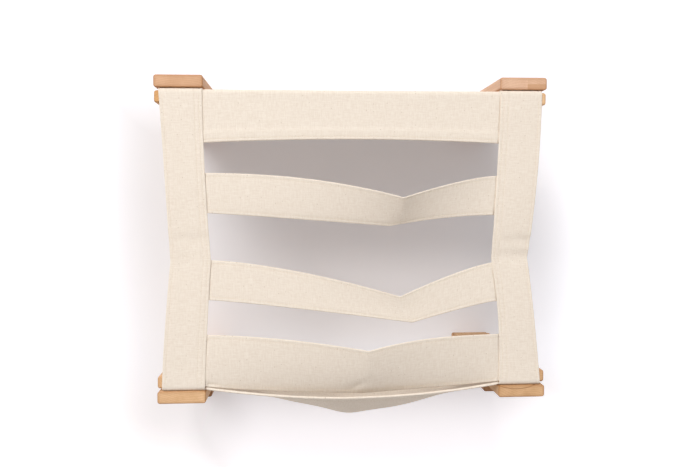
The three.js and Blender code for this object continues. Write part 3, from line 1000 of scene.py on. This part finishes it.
THREAD = Values(
    grain=(2500, 2500, 2500),
    tone=(0.35, 0.65),
    dark=rgb(222, 205, 182),
    light=rgb(244, 233, 218),
)


def thread_material():
    n = Nodes(bpy.data.materials.new("cotton_thread"))
    fibre = n.noise(n.scaled(n.place(), THREAD.grain))
    colour = n.mix(n.ramp(fibre, *THREAD.tone), THREAD.dark, THREAD.light)
    n.look(Base_Color=colour, Roughness=0.8)
    return n.owner


WOOD = Values(
    axis_aside=(-0.03, 0.03),
    axis_away=(0.05, 0.09),
    warp_grain=(22, 3.5, 22),
    shift=(-0.5, 0.5),
    fibre_grain=(1500, 26, 1500),
    fibre_noise=(3.0, 0.6),
    broad_grain=(75, 7, 75),
    pore_grain=(2600, 90, 2600),
    pore_detail=1.0,
    warp_reach=9 * MM,
    ring_pitch=2.6 * MM,
    ring_start=(0.1, 0.92),
    ring_end=(0.94, 1.0, 1.0, 0.0),
    weights=(0.14, 0.5, 0.5),
    tone=(0.34, 0.8),
    pores=(0.66, 0.74, 0.0, 0.25),
    # corner, rim and end_face set the darker edges: partly wear, partly painted shade
    corner=(0.78, 0.999),
    rim=(1 * MM, 4 * MM),
    rim_wear=0.32,
    end_face=(0.8, 0.97),
    relief=(0.7, 0.3),
    bump=(0.2, 0.1 * MM),
    roughness=(0.3, 0.7, 0.5, 0.66),
)


def wood_material(name, low, high, look, edge_shade_and_wear, seed):
    """Wood grain along Y, rings about an axis outside the board, edges darker by wear and painted
    shade.
    """
    n = Nodes(bpy.data.materials.new(name))
    random = np.random.default_rng(seed)
    place = n.place()
    shift = tuple(random.uniform(*WOOD.shift, 3))
    axis_x = (low.x + high.x) / 2 + random.uniform(*WOOD.axis_aside)
    axis_z = (low.z + high.z) / 2 - copysign(random.uniform(*WOOD.axis_away), low.z)
    x, _, z = n.parts(place)
    radius = n.length(n.math("SUBTRACT", x, axis_x), n.math("SUBTRACT", z, axis_z))
    warp = n.noise(n.scaled(place, WOOD.warp_grain, shift))
    warped = n.sum((radius, 1.0), (warp, WOOD.warp_reach))
    phase = n.math("FRACT", n.math("DIVIDE", warped, WOOD.ring_pitch))
    ring = n.product(n.ramp(phase, *WOOD.ring_start), n.ramp(phase, *WOOD.ring_end))
    fibre = n.noise(n.scaled(place, WOOD.fibre_grain, shift), *WOOD.fibre_noise)
    broad = n.noise(n.scaled(place, WOOD.broad_grain, shift))
    tone = n.sum(*zip((ring, fibre, broad), WOOD.weights))
    colour = n.mix(n.ramp(tone, *WOOD.tone), look.light, look.dark)
    pore = n.noise(n.scaled(place, WOOD.pore_grain, shift), WOOD.pore_detail)
    colour = n.mix(n.ramp(pore, *WOOD.pores), colour, look.edge)
    for accent in look.accents:
        colour = accent(n, x, z, colour)
    directions = n.parts(n.add("ShaderNodeTexCoord").outputs["Normal"])
    steep = [n.math("ABSOLUTE", part) for part in directions]
    # Rounded edges darker: partly wear, partly painted shade on their rounding
    colour = n.mix(n.ramp(n.largest(*steep), *WOOD.corner, edge_shade_and_wear, 0.0), colour, look.edge)
    # A darker border along the end faces' edges: painted shade, partly wear
    rims = []
    for value, start, end in ((x, low.x, high.x), (z, low.z, high.z)):
        middle = (start + end) / 2
        rims.append(n.math("SUBTRACT", middle - start, n.off(value, middle)))
    near = n.ramp(n.math("MINIMUM", *rims), *WOOD.rim, WOOD.rim_wear * edge_shade_and_wear, 0.0)
    colour = n.mix(n.product(near, n.ramp(steep[1], *WOOD.end_face)), colour, look.edge)
    normal = n.bump(n.sum(*zip((fibre, ring), WOOD.relief)), *WOOD.bump)
    roughness = n.ramp(fibre, *WOOD.roughness)
    n.look(Base_Color=colour, Roughness=roughness, Specular_IOR_Level=0.35, Normal=normal)
    return n.owner


LAMINATE = Values(
    joint_x=0.58,
    joint_z=0.45,
    line=0.4 * MM,
    above=0.25,
    strength=0.75,
    colour=rgb(200, 152, 112),
)
DARK_ARC = Values(
    radius=60 * MM,
    aside=6 * MM,
    down=4.2 * MM,
    line=(0.2 * MM, 0.8 * MM, 0.75, 0.0),
    colour=rgb(150, 100, 58),
)


def laminated(n, x, z, colour):
    """Two glued lengths of another tone in the board's outer half."""
    joint_x = OUTER_LOW.x + LAMINATE.joint_x * (OUTER_HIGH.x - OUTER_LOW.x)
    joint_z = OUTER_LOW.z + LAMINATE.joint_z * (OUTER_HIGH.z - OUTER_LOW.z)
    right = n.ramp(x, joint_x, joint_x + LAMINATE.line)
    under = n.ramp(z, joint_z, joint_z + LAMINATE.line, 1.0, LAMINATE.above)
    return n.mix(n.product(right, under, LAMINATE.strength), colour, LAMINATE.colour)


def dark_arc(n, x, z, colour):
    """One dark line on the board's end that curves down under the canvas and up again."""
    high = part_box("lower_right_outer_board")[1]
    radius = DARK_ARC.radius
    across = n.math("SUBTRACT", x, ARM_X - DARK_ARC.aside)
    up = n.math("SUBTRACT", z, high.z + radius - DARK_ARC.down)
    off = n.off(n.length(across, up), radius)
    return n.mix(n.ramp(off, *DARK_ARC.line), colour, DARK_ARC.colour)


def wood_look(light, dark, edge, *accents):
    return Values(light=rgb(*light), dark=rgb(*dark), edge=rgb(*edge), accents=accents)


ARM_LOOKS = {
    "upper_left": wood_look((220, 175, 138), (203, 156, 118), (178, 120, 72)),
    "upper_right": wood_look((230, 192, 163), (214, 172, 141), (186, 130, 86), laminated),
    "lower_left": wood_look((232, 192, 150), (212, 168, 123), (176, 124, 76)),
    "lower_right": wood_look((222, 181, 138), (199, 155, 111), (168, 116, 69), dark_arc),
}
# The inner boards' tones. The upper right one is lighter, a painted light that makes up for the shade
# of the outer board over it.
BOARD_LOOKS = {
    "upper_left_inner_board": wood_look((226, 176, 120), (208, 156, 100), (180, 124, 70)),
    "upper_right_inner_board": wood_look((241, 202, 159), (226, 184, 139), (200, 150, 100)),
}
# The rails are darker than the boards: painted shade for the shade they sit in under the boards.
RAIL_LOOK = wood_look((190, 146, 106), (160, 116, 78), (130, 88, 54))
# How dark the edges get, partly wear and partly painted shade; less on the inner boards, whose ends
# show lighter
EDGE_SHADE_AND_WEAR = 0.95
INNER_EDGE_SHADE_AND_WEAR = 0.4
STEEL = Values(
    grain=(420, 420, 420),
    detail=3.0,
    tone=(0.3, 0.7),
    dark=rgb(186, 190, 196),
    light=rgb(214, 215, 212),
    roughness=(0.25, 0.75, 0.26, 0.42),
    bump=(0.1, 0.05 * MM),
)


def steel_material():
    n = Nodes(bpy.data.materials.new("zinc_plated_steel"))
    cloud = n.noise(n.scaled(n.place(), STEEL.grain), STEEL.detail)
    colour = n.mix(n.ramp(cloud, *STEEL.tone), STEEL.dark, STEEL.light)
    n.look(Base_Color=colour, Metallic=1.0, Roughness=n.ramp(cloud, *STEEL.roughness))
    n.look(Normal=n.bump(cloud, *STEEL.bump))
    return n.owner


# Stage

WHITE = (1, 1, 1, 1)
WALL_COLOUR = rgb(233, 230, 231)
GLOW_COLOUR = (0.86, 0.9, 1, 1)
LOW_GLOW_COLOUR = (0.86, 0.84, 0.88, 1)

# The wall's glow, which by its place paints a soft shade round the cabin and sets how bright the
# wall shows through the cabin's openings. x and z are the middle and half size of the part behind
# the cabin. The others are ramps over x, over z or over the distance from that part.
PAINTED_WALL_SHADE = Values(
    x=(0.0165, 0.2885),
    z=(-0.023, 0.243),
    within=(-0.03, 0, 1, 0),
    inside=(0.14, -0.02, 0.11, 0.16),
    over=(0.11, 0.24, 0, 0.3),
    under=(-0.15, -0.34, 0, 0.72),
    under_right=(-0.28, -0.12, 0, 1),
    beside=(0.25, 0.305, 0.055, 0.28),
    lower=(0.06, -0.2, 0, 0.08),
    outside=(0, 0.2, 0, 0.6),
    low_colour=(-0.2, -0.27),
)
WALL_HALF = 12
WALL_TOP = 2.4
WALL_SETBACK = 0.5 * MM
WALL_DECIMALS = 6
GROUND_Z = -1.3
GROUND_HALF = 14
GROUND_GLOW = 0.36
GROUND_COLOUR = rgb(205, 202, 200)
WORLD_LIGHT = 0.425


def wall_material():
    """Pale and matt, and clear from behind and for shadows, so that it hides and darkens nothing.
    It glows for the camera, less the nearer it is to the cabin: a painted shade round the cabin."""
    n = Nodes(bpy.data.materials.new("pale_wall"))
    n.tree.nodes.remove(n.shader)
    paint = n.add("ShaderNodeBsdfDiffuse", {"Color": WALL_COLOUR})
    x, _, z = n.parts(n.place())
    # Painted shade: the glow's level by place, lowest round the cabin and set by height behind its
    # openings
    past = []
    for value, (middle, half) in ((x, PAINTED_WALL_SHADE.x), (z, PAINTED_WALL_SHADE.z)):
        past.append(n.math("SUBTRACT", n.off(value, middle), half))
    within = n.ramp(n.largest(*past), *PAINTED_WALL_SHADE.within)
    outside = n.length(*(n.largest(part, 0.0) for part in past))
    inside = n.product(within, n.ramp(z, *PAINTED_WALL_SHADE.inside))
    under = n.product(n.ramp(z, *PAINTED_WALL_SHADE.under), n.ramp(x, *PAINTED_WALL_SHADE.under_right))
    level = n.math("ADD", n.ramp(x, *PAINTED_WALL_SHADE.beside), n.ramp(z, *PAINTED_WALL_SHADE.lower))
    level = n.math("ADD", level, n.ramp(outside, *PAINTED_WALL_SHADE.outside))
    level = n.largest(level, inside, n.ramp(z, *PAINTED_WALL_SHADE.over), under)
    # A greyer glow low down, part of the painted shade under the cabin
    colour = n.mix(n.ramp(z, *PAINTED_WALL_SHADE.low_colour), GLOW_COLOUR, LOW_GLOW_COLOUR)
    glow = n.add("ShaderNodeEmission", {"Color": colour, "Strength": n.product(n.seen(), level)})
    lit = n.add("ShaderNodeAddShader", {0: paint.outputs[0], 1: glow.outputs[0]})
    behind = n.add("ShaderNodeNewGeometry").outputs["Backfacing"]
    shadow = n.add("ShaderNodeLightPath").outputs["Is Shadow Ray"]
    clear = n.add("ShaderNodeBsdfTransparent")
    inputs = {0: n.largest(behind, shadow), 1: lit.outputs[0], 2: clear.outputs[0]}
    both = n.add("ShaderNodeMixShader", inputs)
    n.put(n.tree.nodes["Material Output"].inputs["Surface"], both.outputs[0])
    return n.owner


def ground_material():
    """Pale, and brighter to look at than as a reflector."""
    n = Nodes(bpy.data.materials.new("pale_floor"))
    ray = n.add("ShaderNodeLightPath").outputs
    n.look(Base_Color=GROUND_COLOUR, Roughness=0.9, Emission_Color=WHITE)
    n.look(Emission_Strength=n.product(ray["Is Camera Ray"], GROUND_GLOW))
    return n.owner


def make_wall():
    """A wall with an opening behind each wall block, so that light reaches the block's back."""
    blocks = [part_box(arm + "_wall_block") for arm in ARM_LOOKS]
    corners = [corner for block in blocks for corner in block]
    xs = sorted({-WALL_HALF, WALL_HALF, *(round(corner.x, WALL_DECIMALS) for corner in corners)})
    zs = sorted({GROUND_Z, WALL_TOP, *(round(corner.z, WALL_DECIMALS) for corner in corners)})
    vertices = [(x, WALL_SETBACK, z) for z in zs for x in xs]
    faces = []
    for row in range(len(zs) - 1):
        for column in range(len(xs) - 1):
            x, z = (xs[column] + xs[column + 1]) / 2, (zs[row] + zs[row + 1]) / 2
            if not any(low.x < x < high.x and low.z < z < high.z for low, high in blocks):
                first = row * len(xs) + column
                faces.append((first, first + 1, first + 1 + len(xs), first + len(xs)))
    return add_object("stage_wall", vertices, faces, smooth=False)


def make_stage():
    wall = make_wall()
    wall.data.materials.append(wall_material())
    corners = [(sx * GROUND_HALF, sy * GROUND_HALF, GROUND_Z) for sx, sy in SQUARE]
    ground = add_object("stage_floor", corners, [(0, 1, 2, 3)], smooth=False)
    ground.data.materials.append(ground_material())


def make_world():
    """White to look at, and dimmer as a light."""
    world = bpy.data.worlds.new("studio")
    bpy.context.scene.world = world
    n = Nodes(world, "Background")
    n.look(Color=WHITE, Strength=n.ramp(n.seen(), 0.0, 1.0, WORLD_LIGHT))


def make_light():
    """A large lamp in front of the cabin, up on the left, that points at it."""
    data = bpy.data.lights.new("key", "AREA")
    data.shape = "RECTANGLE"
    data.size = 2.2
    data.size_y = 1.6
    data.energy = 124
    data.color = (1, 0.992, 0.985)
    lamp = new_object("key", data)
    lamp.location = (-1.0, -3.25, 2.4)
    aim = Vector((0, FRONT_Y, 0)) - lamp.location
    lamp.rotation_euler = aim.to_track_quat("-Z", "Y").to_euler()


# Fitted to the corners of the four arm ends in the photograph
CAMERA_PLACE = (-61.5 * MM, -1143.3 * MM, 42.7 * MM)
CAMERA_YAW = radians(3.774)
CAMERA_PITCH = radians(2.344)
CAMERA_ROLL = radians(-0.129)
FOCAL_PIXELS = 732.9
IMAGE_WIDTH_PIXELS = 700
SENSOR_WIDTH = 36


def make_camera():
    data = bpy.data.cameras.new("camera")
    data.sensor_width = SENSOR_WIDTH
    data.lens = FOCAL_PIXELS * SENSOR_WIDTH / IMAGE_WIDTH_PIXELS
    camera = new_object("camera", data)
    ahead, aside = cos(CAMERA_YAW), sin(CAMERA_YAW)
    level = cos(CAMERA_PITCH)
    forward = Vector((aside * level, ahead * level, -sin(CAMERA_PITCH)))
    right = Vector((ahead, -aside, 0))
    up = right.cross(forward)
    rolled_right = cos(CAMERA_ROLL) * right + sin(CAMERA_ROLL) * up
    rolled_up = rolled_right.cross(forward)
    turn = Matrix((rolled_right, rolled_up, -forward)).transposed().to_4x4()
    camera.matrix_world = Matrix.Translation(CAMERA_PLACE) @ turn
    bpy.context.scene.camera = camera


# Assembly


def dress(made, slot, material, *replaced):
    made.data.materials.clear()
    made.data.materials.append(material)
    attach(made, "root")
    if replaced:
        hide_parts(*replaced)


def finish_wood():
    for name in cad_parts:
        if name.endswith(("_board", "_rail", "_block")):
            arm = next(arm for arm in ARM_LOOKS if name.startswith(arm))
            look = RAIL_LOOK if name.endswith("_rail") else BOARD_LOOKS.get(name, ARM_LOOKS[arm])
            low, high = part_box(name)
            edge_shade_and_wear = INNER_EDGE_SHADE_AND_WEAR if name.endswith("_inner_board") else EDGE_SHADE_AND_WEAR
            material = wood_material(name + "_wood", low, high, look, edge_shade_and_wear, sum(map(ord, name)))
            dress(smoothed_copy(name), "wood", material, name)


def finish_screws():
    steel = steel_material()
    meshes = {}
    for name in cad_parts:
        kind = next((kind for kind in SCREWS if kind in name), None)
        if kind is None:
            continue
        if kind not in meshes:
            meshes[kind] = screw_mesh(name, kind)
            meshes[kind].materials.append(steel)
        made = new_object(name + FINISHED, meshes[kind])
        made.matrix_world = screw_place(name, kind)
        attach(made, "root")
        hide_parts(name)


def boards(kind, *arms):
    return [f"{arm}_{kind}_board{FINISHED}" for arm in arms]


def finish_canvas():
    look, thread = canvas_material(), thread_material()
    strips = ["left_strip", "right_strip"]
    left_boards = boards("inner", "upper_left", "lower_left")
    right_boards = boards("inner", "upper_right", "lower_right")
    upper_boards = boards("inner", "upper_left", "upper_right")
    lower_boards = boards("outer", "lower_left", "lower_right")
    bottom = cross_band("bottom_cross_band", BOTTOM_BAND, bottom_band_dents)
    over_arm = STRIP_OUTER_X - HALF_CLEAR
    sheets = (
        (roof_and_top_band(), over_arm, "stretched", upper_boards, ["roof_canvas", "top_band"]),
        (floor(), over_arm, "hung", lower_boards, ["floor_canvas"]),
        (side_strip(strips[0], LEFT_STRIP), TUCKED, "stretched", left_boards, ["left_side_strip"]),
        (side_strip(strips[1], RIGHT_STRIP), TUCKED, "stretched", right_boards, ["right_side_strip"]),
        (cross_band("upper_cross_strap", UPPER_STRAP), SEAM_REACH, "hung", strips, ["upper_strap"]),
        (cross_band("lower_cross_strap", LOWER_STRAP), SEAM_REACH, "hung", strips, ["lower_strap"]),
        (bottom, SEAM_REACH, "hung", strips, ["bottom_band"]),
    )
    for cloth, margin, held, rests_on, nodes in sheets:
        made, stitches = cloth.build(), stitching(cloth, margin)
        dress(made, "canvas", look, *nodes)
        dress(stitches, "canvas", thread)
        flat, area = cloth.cut()


make_camera()
make_world()
make_light()
make_stage()
finish_wood()
finish_screws()
finish_canvas()
bpy.context.scene.view_settings.view_transform = "Standard"
